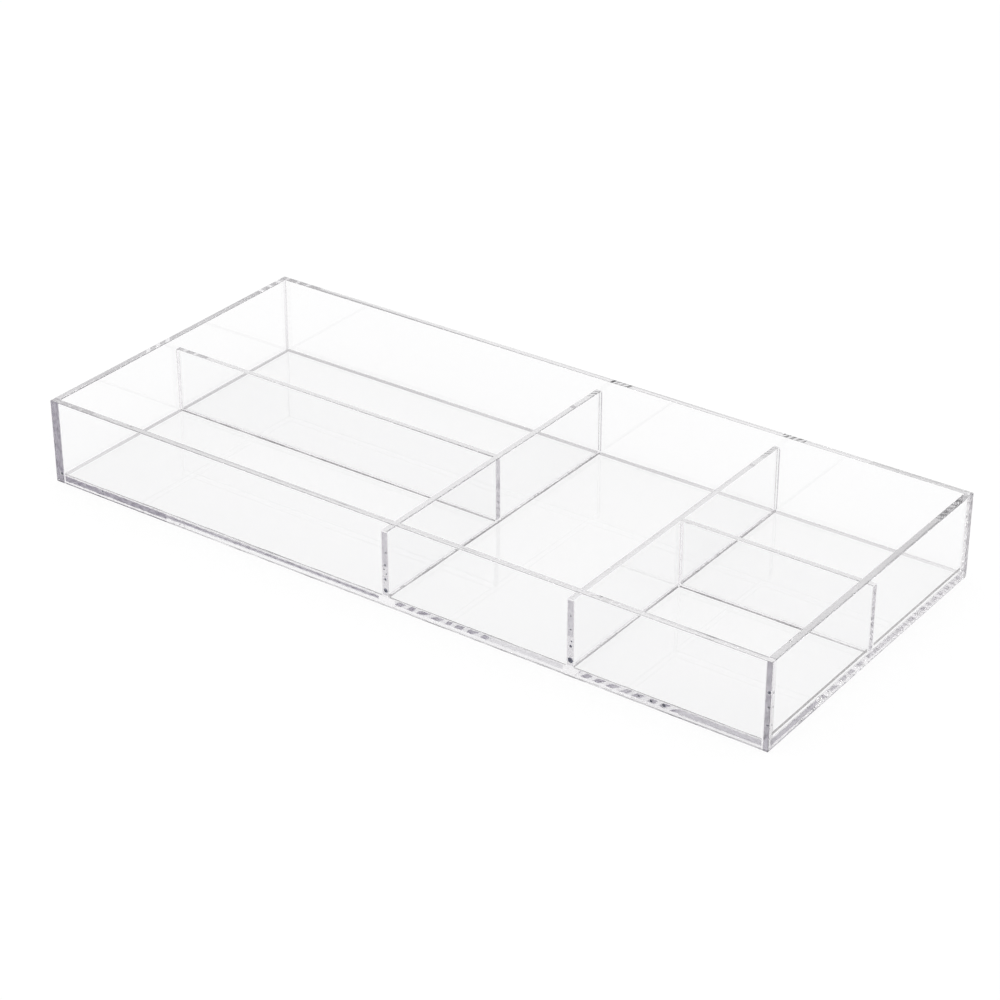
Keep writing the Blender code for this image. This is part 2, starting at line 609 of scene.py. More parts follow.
@dataclass
class AcrylicSheet:
    """One cast sheet of the tray, from the lowest to the highest corner of its CAD node."""

    name: str
    node: str
    low: Vector
    high: Vector
    arris: float = 0.35 * MILLIMETRE
    arris_segments: int = 3
    # Painted shade on the rim: its grey share at each end, scaled down on the flat core and raised on the
    # rounded borders
    rim_shade_ends: Pair = (0.0, 0.0)
    core_shade: float = 0.75
    arris_shade: float = 0.4
    # Where the foot's painted shade line lies, as a share of the foot's width; the default puts it off the
    # foot
    shade_line_place: float = 9.0
    surfaces: dict[Side, Surface] = field(default_factory=dict)
    contacts: list[Contact] = field(default_factory=list)
    stretches: dict[Side, tuple[DryStretch, ...]] = field(default_factory=dict)

    EDGE_MAP = "edge_grain"
    DRYNESS = "dryness"
    DRY_DEPTH = "dry_depth"
    SEEP_HEIGHT = "seep_height"
    SOFTNESS = "softness"
    CHATTER = "chatter"
    CHATTER_REPEATS = "chatter_repeats"
    RIM_SHADE = "rim_painted_shade"
    MARKS = (DRYNESS, DRY_DEPTH, SEEP_HEIGHT, SOFTNESS, CHATTER, CHATTER_REPEATS, RIM_SHADE)

    @property
    def size(self) -> Vector:
        """Length along each axis."""
        return self.high - self.low

    @property
    def thin_axis(self) -> int:
        """Axis that the sheet is thinnest along."""
        return min(range(3), key=lambda axis: self.size[axis])

    def edge_axes(self, side: Side) -> list[int]:
        """The two axes that a side spans, the shorter one first."""
        return sorted(axes_across(side.axis), key=lambda axis: self.size[axis])

    def plane(self, side: Side) -> float:
        """Where a side lies along its axis, in metres."""
        return self.high[side.axis] if side.sign > 0 else self.low[side.axis]

    def place_on(self, side: Side, way_along: float, way_across: float) -> Vector:
        """A place on a side.

        Args:
            side: The side.
            way_along: How far along the side, as a share of its length.
            way_across: How far across it, as a share of its width.

        Returns:
            The place in metres.
        """
        across, along = self.edge_axes(side)
        place = Vector()
        place[side.axis] = self.plane(side)
        place[along] = self.low[along] + way_along * self.size[along]
        place[across] = self.low[across] + way_across * self.size[across]
        return place

    def move_side(self, side: Side, place: float) -> None:
        """Moves one side to a place along its axis, in metres."""
        corner = self.high if side.sign > 0 else self.low
        corner[side.axis] = place

    def reaches(self, point: Vector, reach: float) -> bool:
        """True if the point is in the sheet, or outside it by no more than reach along any axis."""
        return all(self.low[axis] - reach <= point[axis] <= self.high[axis] + reach for axis in range(3))

    def side_of(self, normal: Vector) -> Side:
        """The side that faces most nearly the same way as a normal."""
        axis = max(range(3), key=lambda number: abs(normal[number]))
        return next(side for side in Side if side.axis == axis and side.sign * normal[axis] > 0)

    def build(self, neighbours: list["AcrylicSheet"], finishes: list[bpy.types.Material]
              ) -> bpy.types.Object:
        """Makes the sheet's object.

        Args:
            neighbours: The other sheets of the tray.
            finishes: A material for each kind of surface, in slot order.

        Returns:
            The dressed sheet, riding with the tray in place of its CAD node.
        """
        board = bmesh.new()
        bmesh.ops.create_cube(board, size=1)
        bmesh.ops.scale(board, vec=self.size, verts=board.verts)
        bmesh.ops.translate(board, vec=(self.low + self.high) / 2, verts=board.verts)
        self._ease_free_edges(board, neighbours)
        self._score_contacts(board)
        self._score_stretches(board)
        self._mark_surfaces(board)
        sheet = in_scene(self.name, finished_mesh(board, self.name))
        for material in finishes:
            sheet.data.materials.append(material)
        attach(sheet, "root")
        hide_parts(self.node)
        return sheet

    def _ease_free_edges(self, board: bmesh.types.BMesh, neighbours: list["AcrylicSheet"]) -> None:
        """Rounds each edge that no neighbour touches.

        Args:
            board: The sheet's block.
            neighbours: The other sheets of the tray.
        """
        free = [edge for edge in board.edges
                if not any(other.reaches((edge.verts[0].co + edge.verts[1].co) / 2, self.arris)
                           for other in neighbours)]
        bmesh.ops.bevel(board, geom=free, offset=self.arris, segments=self.arris_segments, profile=0.5,
                        affect="EDGES", clamp_overlap=True)

    def _score(self, board: bmesh.types.BMesh, place: Vector, axis: int) -> None:
        """Cuts the block's faces along a plane.

        Args:
            board: The sheet's block.
            place: A point on the plane.
            axis: The axis that the plane is square to.
        """
        square = Vector()
        square[axis] = 1.0
        everything = board.verts[:] + board.edges[:] + board.faces[:]
        bmesh.ops.bisect_plane(board, geom=everything, dist=CUT_REACH, plane_co=place, plane_no=square)

    def _score_contacts(self, board: bmesh.types.BMesh) -> None:
        """Cuts the block's faces along the outlines of its contacts.

        Args:
            board: The sheet's block.
        """
        for contact in self.contacts:
            for axis in axes_across(contact.side.axis):
                for corner in (contact.low, contact.high):
                    self._score(board, corner, axis)

    def _score_stretches(self, board: bmesh.types.BMesh) -> None:
        """Cuts the block's faces at the ends of its dry stretches.

        Args:
            board: The sheet's block.
        """
        for side, stretches in self.stretches.items():
            for stretch in stretches:
                for share in (stretch.start, stretch.end):
                    self._score(board, self.low.lerp(self.high, share), self.edge_axes(side)[1])

    def _stretch_at(self, side: Side, place: Vector) -> DryStretch:
        """The dry stretch that a place lies in.

        Args:
            side: The side that the place is on.
            place: The place asked about.

        Returns:
            The stretch, or one without any dryness where there is none.
        """
        along = self.edge_axes(side)[1]
        share = (place[along] - self.low[along]) / self.size[along]
        found = [stretch for stretch in self.stretches.get(side, ())
                 if stretch.start < share < stretch.end]
        return found[0] if found else DryStretch(*WHOLE)

    def _is_bonded(self, side: Side, place: Vector) -> bool:
        """Tells whether a neighbour is fused to a place.

        Args:
            side: The side that the place is on.
            place: The place asked about.

        Returns:
            True if the place lies in one of the side's contacts.
        """
        return any(contact.side is side and all(contact.low[axis] < place[axis] < contact.high[axis]
                                                for axis in axes_across(side.axis))
                   for contact in self.contacts)

    def _mark_surfaces(self, board: bmesh.types.BMesh) -> None:
        """Gives each face its kind of surface, its marks and its place on the edge map.

        Args:
            board: The sheet's block.
        """
        board.normal_update()
        edge_map = board.loops.layers.uv.new(self.EDGE_MAP)
        layers = {name: board.loops.layers.float.new(name) for name in self.MARKS}
        for face in board.faces:
            side = self.side_of(face.normal)
            middle = face.calc_center_median()
            flat = abs(middle[side.axis] - self.plane(side)) < FLAT_REACH
            kind = Surface.BONDED if flat and self._is_bonded(side, middle) else self.surfaces[side]
            face.material_index = kind.value
            face.smooth = not flat
            across, along = self.edge_axes(side)
            stretch = self._stretch_at(side, middle)
            for loop in face.loops:
                point = loop.vert.co
                share = (point[across] - self.low[across]) / self.size[across]
                way_along = (point[along] - self.low[along]) / self.size[along]
                # Painted shade on the rim, from one end to the other
                shade_share = self.rim_shade_ends[0] + (self.rim_shade_ends[1] - self.rim_shade_ends[0]) * way_along
                marks = {
                    self.DRYNESS: stretch.dryness,
                    self.DRY_DEPTH: stretch.wick - share,
                    self.SEEP_HEIGHT: share - stretch.seep,
                    self.SOFTNESS: stretch.softness,
                    self.CHATTER: stretch.chatter,
                    self.CHATTER_REPEATS: 1 / stretch.pitch,
                    self.RIM_SHADE: shade_share * self.core_shade if flat else min(1.0, shade_share + self.arris_shade),
                }
                # On a foot the seep height holds the distance from the painted shade line
                if kind is Surface.FOOT:
                    inwards = share if self.low[across] < 0 else 1 - share
                    marks[self.SEEP_HEIGHT] = inwards - self.shade_line_place
                for name, value in marks.items():
                    loop[layers[name]] = value
                loop[edge_map].uv = (-side.sign * point[along], point[across])


@dataclass
class DividedTray:
    """The tray's nine cast sheets, laid out on their CAD nodes and cemented edge to face."""

    joint_reach: float = 0.6 * MILLIMETRE
    bond_gap: float = 0.01 * MILLIMETRE
    shortest_corner: float = 3.0 * MILLIMETRE
    nodes: tuple[str, ...] = (
        "base_plate", "front_wall", "back_wall", "left_end_wall", "right_end_wall",
        "left_cross_divider", "right_cross_divider", "left_long_divider", "right_long_divider")
    free_edges: dict[Side, Surface] = field(
        default_factory=lambda: {Side.TOP: Surface.RIM, Side.BOTTOM: Surface.FOOT})
    sawn_ends: tuple[Edge, ...] = (("back_wall", Side.RIGHT),)
    unfused_ends: tuple[Edge, ...] = (("left_cross_divider", Side.BACK), ("right_cross_divider", Side.BACK))
    stretches: dict[Edge, tuple[DryStretch, ...]] = field(default_factory=lambda: {
        ("base_plate", Side.FRONT): (
            DryStretch(0.002, 0.167, 1.0, seep=0.14, wick=0.84),
            DryStretch(0.167, 0.49, 0.95, seep=0.37, wick=0.76, softness=3.5),
            DryStretch(0.513, 0.645, 1.0, 0.74, seep=0.34, wick=0.92),
            DryStretch(0.645, 0.745, 0.35, seep=0.3, wick=0.95, softness=3.0),
            DryStretch(0.766, 0.895, 1.0, 0.8, seep=0.27, wick=0.9),
            DryStretch(0.895, 0.998, 0.65, seep=0.2, wick=0.9, softness=2.0),
        ),
        ("base_plate", Side.RIGHT): (
            DryStretch(0.004, 0.22, 0.75, seep=0.15, wick=0.93),
            DryStretch(0.22, 0.5, 0.7, 1.0, 8.0 * MILLIMETRE, seep=0.2, wick=0.93),
            DryStretch(0.5, 0.68, 0.42, seep=0.15, wick=0.9, softness=3.0),
            DryStretch(0.68, 0.998, 0.6, 0.8, 5.6 * MILLIMETRE, seep=0.2, wick=0.93),
        ),
        ("left_end_wall", Side.FRONT): (DryStretch(0.0, 1.0, 1.0),),
        ("left_end_wall", Side.TOP): (DryStretch(0.8, 0.97, 0.25, 1.0, 6.0 * MILLIMETRE),),
        ("right_end_wall", Side.FRONT): (DryStretch(0.0, 1.0, 0.8),),
        ("right_end_wall", Side.BACK): (
            DryStretch(0.03, 0.55, 1.0, 0.9, 2.0 * MILLIMETRE),
            DryStretch(0.55, 0.98, 0.8),
        ),
        ("right_end_wall", Side.TOP): (DryStretch(0.84, 0.96, 0.7, 1.0, 4.0 * MILLIMETRE),),
        ("left_cross_divider", Side.FRONT): (DryStretch(0.02, 0.45, 0.35), DryStretch(0.45, 0.98, 0.6)),
        ("left_cross_divider", Side.TOP): (DryStretch(0.95, 0.995, 0.8, 1.0, 2.5 * MILLIMETRE),),
        ("right_cross_divider", Side.FRONT): (DryStretch(0.02, 0.45, 0.35), DryStretch(0.45, 0.98, 0.6)),
        ("right_cross_divider", Side.TOP): (DryStretch(0.92, 0.995, 0.6, 1.0, 2.5 * MILLIMETRE),),
        ("left_long_divider", Side.LEFT): (DryStretch(0.02, 0.98, 0.55),),
        ("left_long_divider", Side.RIGHT): (DryStretch(0.02, 0.98, 0.55),),
        ("right_long_divider", Side.LEFT): (
            DryStretch(0.02, 0.5, 1.0, 1.0, 2.4 * MILLIMETRE),
            DryStretch(0.5, 0.98, 0.25),
        ),
        ("right_long_divider", Side.RIGHT): (DryStretch(0.02, 0.98, 0.6, 0.6, 2.4 * MILLIMETRE),),
        ("back_wall", Side.TOP): (
            DryStretch(0.01, 0.03, 0.3, 1.0, 2.0 * MILLIMETRE),
            DryStretch(0.515, 0.545, 1.0, 1.0, 3.2 * MILLIMETRE),
            DryStretch(0.755, 0.785, 1.0, 1.0, 3.2 * MILLIMETRE),
            DryStretch(0.87, 0.995, 0.3),
        ),
    })
    # Painted shade along each sheet's rim, as its grey share at one end and at the other
    rim_shades: dict[str, Pair] = field(default_factory=lambda: {
        "front_wall": (1.0, 0.1), "back_wall": (0.7, 0.05), "left_end_wall": (0.12, 0.15),
        "right_end_wall": (0.7, 1.0), "left_cross_divider": (0.45, 0.45), "right_cross_divider": (0.5, 0.55),
        "left_long_divider": (0.45, 0.45), "right_long_divider": (0.5, 0.5)})
    # Where the painted shade line runs on each foot, as a share of the foot's width
    shade_line_places: dict[str, float] = field(default_factory=lambda: {
        "front_wall": 0.52, "right_end_wall": 0.04})
    sheets: list[AcrylicSheet] = field(default_factory=list)

    def build(self) -> list[bpy.types.Object]:
        """Builds every sheet on its CAD node.

        Returns:
            The sheets' objects.
        """
        for node in self.nodes:
            low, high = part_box(node)
            self.sheets.append(AcrylicSheet(
                f"{node}_sheet", node, low, high, rim_shade_ends=self.rim_shades.get(node, AcrylicSheet.rim_shade_ends),
                shade_line_place=self.shade_line_places.get(node, AcrylicSheet.shade_line_place),
                stretches={side: found for (name, side), found in self.stretches.items() if name == node}))
        for sheet in self.sheets:
            self._find_surfaces(sheet)
        for sheet in self.sheets:
            self._find_contacts(sheet)
        finishes = [finish.material() for finish in
                    (PolishedFace(), FlamedEdge(), SawnEnd(), BondedPatch(), CementedEdge(), RubbedFoot())]
        return [sheet.build([other for other in self.sheets if other is not sheet], finishes)
                for sheet in self.sheets]

    def by_node(self) -> dict[str, AcrylicSheet]:
        """The sheets by CAD node."""
        return {sheet.node: sheet for sheet in self.sheets}

    def corners(self) -> list[Corner]:
        """Finds every inside corner that cement squeezed out along.

        Returns:
            The corners beside each jointed edge, cut where another sheet stands across them.
        """
        found = []
        for sheet in self.sheets:
            for side in (each for each in Side if self._is_jointed(sheet, each)):
                back = Vector()
                back[side.axis] = -side.sign
                for face in (each for each in Side if each.axis == sheet.thin_axis):
                    out = Vector()
                    out[face.axis] = face.sign
                    start, end = sheet.low.copy(), sheet.high.copy()
                    for point in (start, end):
                        point[side.axis] = sheet.plane(side)
                        point[face.axis] = sheet.plane(face)
                    aside = (out + back) * MILLIMETRE
                    if self._outside((start + end) / 2 + aside):
                        continue
                    for low, high in self._free_spans(start, end, aside, sheet.edge_axes(side)[1]):
                        found.append(Corner(sheet.node, side, low, high, out, back))
        return found

    def _is_jointed(self, sheet: AcrylicSheet, side: Side) -> bool:
        """True where an edge butts against another sheet, whether or not the cement fused the two."""
        return sheet.surfaces[side] is Surface.CEMENTED or (sheet.node, side) in self.unfused_ends

    def _outside(self, point: Vector) -> bool:
        """True if a point isn't within the tray's outline."""
        low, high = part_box("front_wall")[0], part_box("back_wall")[1]
        return not all(low[axis] < point[axis] < high[axis] for axis in range(3))

    def _free_spans(self, start: Vector, end: Vector, aside: Vector, axis: int
                    ) -> list[tuple[Vector, Vector]]:
        """Cuts a corner line where another sheet stands across it.

        Args:
            start: The line's lower end.
            end: The line's upper end.
            aside: A short way out of the corner, into the bay.
            axis: The axis that the line runs along.

        Returns:
            The ends of each stretch that lies free.
        """
        beside = start + aside
        cuts = sorted((sheet.low[axis], sheet.high[axis]) for sheet in self.sheets
                      if all(sheet.low[number] < beside[number] < sheet.high[number]
                             for number in axes_across(axis)))
        stops = [start[axis], *(place for cut in cuts for place in cut), end[axis]]
        spans = []
        for lower, upper in zip(stops[::2], stops[1::2]):
            low, high = start.copy(), start.copy()
            low[axis], high[axis] = max(lower, start[axis]), min(upper, end[axis])
            if high[axis] - low[axis] > self.shortest_corner:
                spans.append((low, high))
        return spans

    def _carrier(self, sheet: AcrylicSheet, side: Side) -> AcrylicSheet | None:
        """The sheet whose broad face this sheet's edge butts against.

        Args:
            sheet: The sheet that butts.
            side: The edge that may butt.

        Returns:
            The neighbour, or None for a free side.
        """
        middle = (sheet.low + sheet.high) / 2
        middle[side.axis] = sheet.plane(side)
        for other in self.sheets:
            if other is sheet or other.thin_axis != side.axis:
                continue
            near = abs(other.plane(side.opposite) - sheet.plane(side)) < self.joint_reach
            if near and other.reaches(middle, self.joint_reach):
                return other
        return None

    def _find_surfaces(self, sheet: AcrylicSheet) -> None:
        """Settles what each side of a sheet is like, and closes the cement line at its joints.

        Args:
            sheet: The sheet to settle.
        """
        for side in Side:
            if side.axis == sheet.thin_axis:
                sheet.surfaces[side] = Surface.POLISHED
                continue
            carrier = self._carrier(sheet, side)
            if carrier is None:
                plain = self.free_edges.get(side, Surface.RIM)
                sheet.surfaces[side] = Surface.SAWN if (sheet.node, side) in self.sawn_ends else plain
            else:
                unfused = (sheet.node, side) in self.unfused_ends
                sheet.surfaces[side] = Surface.POLISHED if unfused else Surface.CEMENTED
                sheet.move_side(side, carrier.plane(side.opposite) - side.sign * self.bond_gap)

    def _find_contacts(self, sheet: AcrylicSheet) -> None:
        """Lists the patches of a sheet's broad faces that other sheets' edges are fused to.

        Args:
            sheet: The sheet that carries the joints.
        """
        for other in self.sheets:
            for side in Side:
                if other.surfaces[side] is Surface.CEMENTED and self._carrier(other, side) is sheet:
                    sheet.contacts.append(Contact(side.opposite, other.low.copy(), other.high.copy()))


class Recipe(TreeWriter):
    """Writes a Geometry Nodes tree with named inputs."""

    def __init__(self, name: str) -> None:
        """Starts a tree that takes one geometry and gives one back.

        Args:
            name: The tree's name.
        """
        super().__init__(bpy.data.node_groups.new(name, "GeometryNodeTree"))
        for way in ("INPUT", "OUTPUT"):
            self.tree.interface.new_socket("Geometry", in_out=way, socket_type="NodeSocketGeometry")
        self.given = self.node("NodeGroupInput")
        self.made = self.node("NodeGroupOutput")
        self.keys: dict[str, str] = {}

    def ask(self, name: str, kind: str = "NodeSocketFloat") -> Socket:
        """Adds a named input.

        Args:
            name: The input's name.
            kind: Its socket type.

        Returns:
            The socket that carries the value inside the tree.
        """
        item = self.tree.interface.new_socket(name, in_out="INPUT", socket_type=kind)
        self.keys[name] = item.identifier
        return next(socket for socket in self.given.outputs if socket.identifier == item.identifier)

    def read(self, name: str, kind: str = "FLOAT") -> Socket:
        """The value that each point or face of the start carries under a name."""
        return self.node("GeometryNodeInputNamedAttribute", {"Name": name}, data_type=kind).outputs[0]

    def finish(self, geometry: Socket, material: Socket) -> None:
        """Ends the tree with real, dressed geometry.

        Args:
            geometry: What the recipe has made.
            material: The material to dress it in.
        """
        real = self.node("GeometryNodeRealizeInstances", {"Geometry": geometry})
        dressed = self.node("GeometryNodeSetMaterial", {
            "Geometry": real.outputs["Geometry"], "Material": material})
        self.tree.links.new(dressed.outputs["Geometry"], self.made.inputs["Geometry"])

    def apply(self, start: bpy.types.Mesh, name: str, values: dict) -> bpy.types.Object:
        """Runs the tree on a mesh and keeps the outcome.

        Args:
            start: The mesh to start from.
            name: Name of the finished object.
            values: A value for each named input.

        Returns:
            An object with the made mesh and no modifier, riding with the tray.
        """
        piece = in_scene(name, start)
        modifier = piece.modifiers.new(name, "NODES")
        modifier.node_group = self.tree
        for key, value in values.items():
            modifier[self.keys[key]] = value
        seen = piece.evaluated_get(bpy.context.evaluated_depsgraph_get())
        mesh = bpy.data.meshes.new_from_object(seen)
        piece.modifiers.remove(modifier)
        mesh.name = name
        piece.data = mesh
        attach(piece, "root")
        return piece


@dataclass(frozen=True)
class TrappedAir:
    """Air shut in the cement, bounded by acrylic on every side, with a skin that dried unevenly.

    A share of painted reflection makes a bubble opaque white instead of clear, standing in for the bright
    surroundings that it mirrors.
    """

    name: str = "trapped_air"
    pale: Colour = (0.98, 0.97, 0.98)
    dull: Colour = (0.88, 0.87, 0.90)
    painted_reflection_share: float = 0.0
    refraction: float = 1 / REFRACTION
    skin_repeats: float = 900.0

    def material(self) -> bpy.types.Material:
        """Builds the material.

        Returns:
            A surface from acrylic into air.
        """
        shading = Shading(self.name)
        skin = shading.noise(shading.place(), self.skin_repeats)
        tint = shading.blend(skin, self.pale, self.dull)
        return shading.finish(shading.plastic(
            tint, 0.0, refraction=self.refraction, clearness=1.0 - self.painted_reflection_share))


@dataclass(frozen=True)
class BubbleField:
    """A patch of a cemented edge with air bubbles in it, in shares of the edge's length and width.

    Crowding thins the bubbles out, and swell makes them larger or smaller than the rest of their kind.
    """

    start: float
    end: float
    bottom: float
    top: float
    crowding: float = 1.0
    swell: float = 1.0


@dataclass(frozen=True)
class JointBubbles:
    """Flattened air bubbles of one kind in the joints, scattered by a fixed seed."""

    name: str
    air: TrappedAir
    fields: dict[Edge, tuple[BubbleField, ...]]
    density: float
    spacing: float
    smallest: float
    largest: float
    flatness: float
    seed: int
    segments: int = 10
    rings: int = 6
    steepness: float = 2.0

    def build(self, sheets: dict[str, AcrylicSheet]) -> bpy.types.Object:
        """Scatters the bubbles.

        Args:
            sheets: The tray's sheets by CAD node.

        Returns:
            All bubbles as one object.
        """
        recipe = Recipe("scattered_bubbles")
        density = recipe.ask("Density")
        spacing = recipe.ask("Spacing")
        smallest = recipe.ask("Smallest Radius")
        largest = recipe.ask("Largest Radius")
        flatness = recipe.ask("Flatness")
        seed = recipe.ask("Seed", "NodeSocketInt")
        material = recipe.ask("Material", "NodeSocketMaterial")
        points = recipe.node("GeometryNodeDistributePointsOnFaces", {
            "Mesh": recipe.given.outputs[0], "Distance Min": spacing, "Density Max": density,
            "Density Factor": recipe.read("crowding"), "Seed": seed}, distribute_method="POISSON")
        bubble = recipe.node("GeometryNodeMeshUVSphere", {
            "Segments": self.segments, "Rings": self.rings, "Radius": 1.0})
        smooth = recipe.node("GeometryNodeSetShadeSmooth", {"Geometry": bubble.outputs["Mesh"]})
        draw = recipe.node("FunctionNodeRandomValue", {2: 0.0, 3: 1.0, "Seed": seed}, data_type="FLOAT")
        steep = recipe.calc("POWER", draw.outputs[1], self.steepness)
        plain = recipe.spread(steep, WHOLE, (smallest, largest))
        radius = recipe.calc("MULTIPLY", plain, recipe.read("swell"))
        height = recipe.calc("MULTIPLY", radius, flatness)
        size = recipe.node("ShaderNodeCombineXYZ", {0: radius, 1: radius, 2: height})
        placed = recipe.node("GeometryNodeInstanceOnPoints", {
            "Points": points.outputs["Points"], "Instance": smooth.outputs["Geometry"],
            "Rotation": points.outputs["Rotation"], "Scale": size.outputs[0]})
        recipe.finish(placed.outputs["Instances"], material)
        return recipe.apply(self._patches(sheets), self.name, {
            "Density": self.density, "Spacing": self.spacing, "Smallest Radius": self.smallest,
            "Largest Radius": self.largest, "Flatness": self.flatness, "Seed": self.seed,
            "Material": self.air.material()})

    def _patches(self, sheets: dict[str, AcrylicSheet]) -> bpy.types.Mesh:
        """Makes one rectangle for each field, with the field's crowding and swell on it.

        Args:
            sheets: The tray's sheets by CAD node.

        Returns:
            The rectangles.
        """
        patches = bmesh.new()
        crowding = patches.faces.layers.float.new("crowding")
        swell = patches.faces.layers.float.new("swell")
        for (node, side), fields in self.fields.items():
            for bubbles in fields:
                outline = ((bubbles.start, bubbles.bottom), (bubbles.end, bubbles.bottom),
                           (bubbles.end, bubbles.top), (bubbles.start, bubbles.top))
                patch = patches.faces.new([
                    patches.verts.new(sheets[node].place_on(side, *corner)) for corner in outline])
                patch[crowding] = bubbles.crowding
                patch[swell] = bubbles.swell
        return finished_mesh(patches, "bubble_fields")


# Coarse bubbles drawn mostly opaque white: a painted reflection of the bright surroundings that they mirror
COARSE_BUBBLES = JointBubbles(
    name="coarse_joint_bubbles",
    air=TrappedAir("coarse_air_painted_white", (1.0, 0.99, 0.98), (0.97, 0.96, 0.96), 0.8),
    fields={
        ("base_plate", Side.RIGHT): (
            BubbleField(0.235, 0.25, 0.48, 0.52, swell=1.5),
            BubbleField(0.285, 0.29, 0.5, 0.6),
            BubbleField(0.345, 0.35, 0.5, 0.6),
            BubbleField(0.75, 0.76, 0.5, 0.6),
        ),
        ("right_end_wall", Side.BACK): (BubbleField(0.67, 0.70, 0.4, 0.6),),
    },
    density=1.0e7, spacing=4.5 * MILLIMETRE, smallest=0.85 * MILLIMETRE, largest=1.15 * MILLIMETRE,
    flatness=0.7, seed=7)

FINE_BUBBLES = JointBubbles(
    name="fine_joint_bubbles",
    air=TrappedAir("fine_air"),
    fields={
        ("base_plate", Side.FRONT): (
            BubbleField(0.03, 0.16, 0.5, 0.75, 0.6),
            BubbleField(0.48, 0.9, 0.2, 0.8, 0.04),
        ),
        ("base_plate", Side.RIGHT): (BubbleField(0.2, 0.98, 0.15, 0.85, 0.06),),
        ("left_cross_divider", Side.FRONT): (BubbleField(0.05, 0.6, 0.2, 0.8, 0.5),),
        ("right_cross_divider", Side.FRONT): (BubbleField(0.05, 0.7, 0.2, 0.8, 0.5),),
        ("right_end_wall", Side.BACK): (BubbleField(0.3, 0.97, 0.15, 0.85, 0.3),),
        ("right_long_divider", Side.RIGHT): (BubbleField(0.05, 0.6, 0.2, 0.8, 0.5),),
    },
    density=0.9e6, spacing=0.8 * MILLIMETRE, smallest=0.15 * MILLIMETRE, largest=0.5 * MILLIMETRE,
    flatness=0.45, seed=11)

# Dark bubbles: their near-black tint is a painted reflection of the shade that these bubbles mirror
SHADED_BUBBLES = JointBubbles(
    name="shaded_joint_bubbles",
    air=TrappedAir("shaded_air", (0.12, 0.13, 0.20), (0.04, 0.045, 0.09)),
    fields={
        ("left_cross_divider", Side.FRONT): (
            BubbleField(0.07, 0.10, 0.45, 0.6, swell=1.8),
            BubbleField(0.25, 0.27, 0.4, 0.6),
            BubbleField(0.33, 0.35, 0.65, 0.8, swell=0.6),
            BubbleField(0.40, 0.42, 0.25, 0.4, swell=0.6),
            BubbleField(0.47, 0.49, 0.5, 0.65),
            BubbleField(0.66, 0.68, 0.6, 0.8, swell=0.8),
        ),
        ("right_cross_divider", Side.FRONT): (
            BubbleField(0.07, 0.10, 0.5, 0.6, swell=2.0),
            BubbleField(0.29, 0.31, 0.45, 0.65),
            BubbleField(0.37, 0.39, 0.65, 0.8, swell=0.7),
            BubbleField(0.53, 0.55, 0.5, 0.7, swell=0.7),
            BubbleField(0.74, 0.76, 0.5, 0.7, swell=0.7),
        ),
        ("left_end_wall", Side.FRONT): (BubbleField(0.06, 0.09, 0.4, 0.8, swell=1.2),),
        ("right_end_wall", Side.FRONT): (
            BubbleField(0.26, 0.29, 0.4, 0.6, swell=0.8),
            BubbleField(0.45, 0.48, 0.4, 0.6, swell=0.9),
            BubbleField(0.62, 0.65, 0.4, 0.6, swell=1.3),
        ),
        ("base_plate", Side.FRONT): (
            BubbleField(0.05, 0.16, 0.62, 0.7, 0.25, 0.9),
            BubbleField(0.842, 0.844, 0.5, 0.6, swell=0.9),
            BubbleField(0.859, 0.861, 0.5, 0.6, swell=1.1),
            BubbleField(0.8745, 0.8765, 0.5, 0.6, swell=1.4),
        ),
    },
    density=2.0e7, spacing=2.2 * MILLIMETRE, smallest=0.7 * MILLIMETRE, largest=0.9 * MILLIMETRE,
    flatness=0.3, seed=4)


@dataclass(frozen=True)
class SetCement:
    """Cement that squeezed out along a joint and set clear, cloudier in some places than in others, and grey
    where a run carries painted shade.
    """

    name: str
    pale: Colour
    cloudy: Colour
    roughness: float = 0.08
    cloud_repeats: float = 35.0
    cloud_band: Pair = (0.38, 0.62)

    def material(self) -> bpy.types.Material:
        """Builds the material.

        Returns:
            Clear, slightly dull cement.
        """
        shading = Shading(self.name)
        clouds = shading.noise(shading.place(), self.cloud_repeats, detail=3.0)
        tint = shading.blend(shading.spread(clouds, self.cloud_band), self.pale, self.cloudy)
        return shading.finish(shading.plastic(tint, self.roughness))


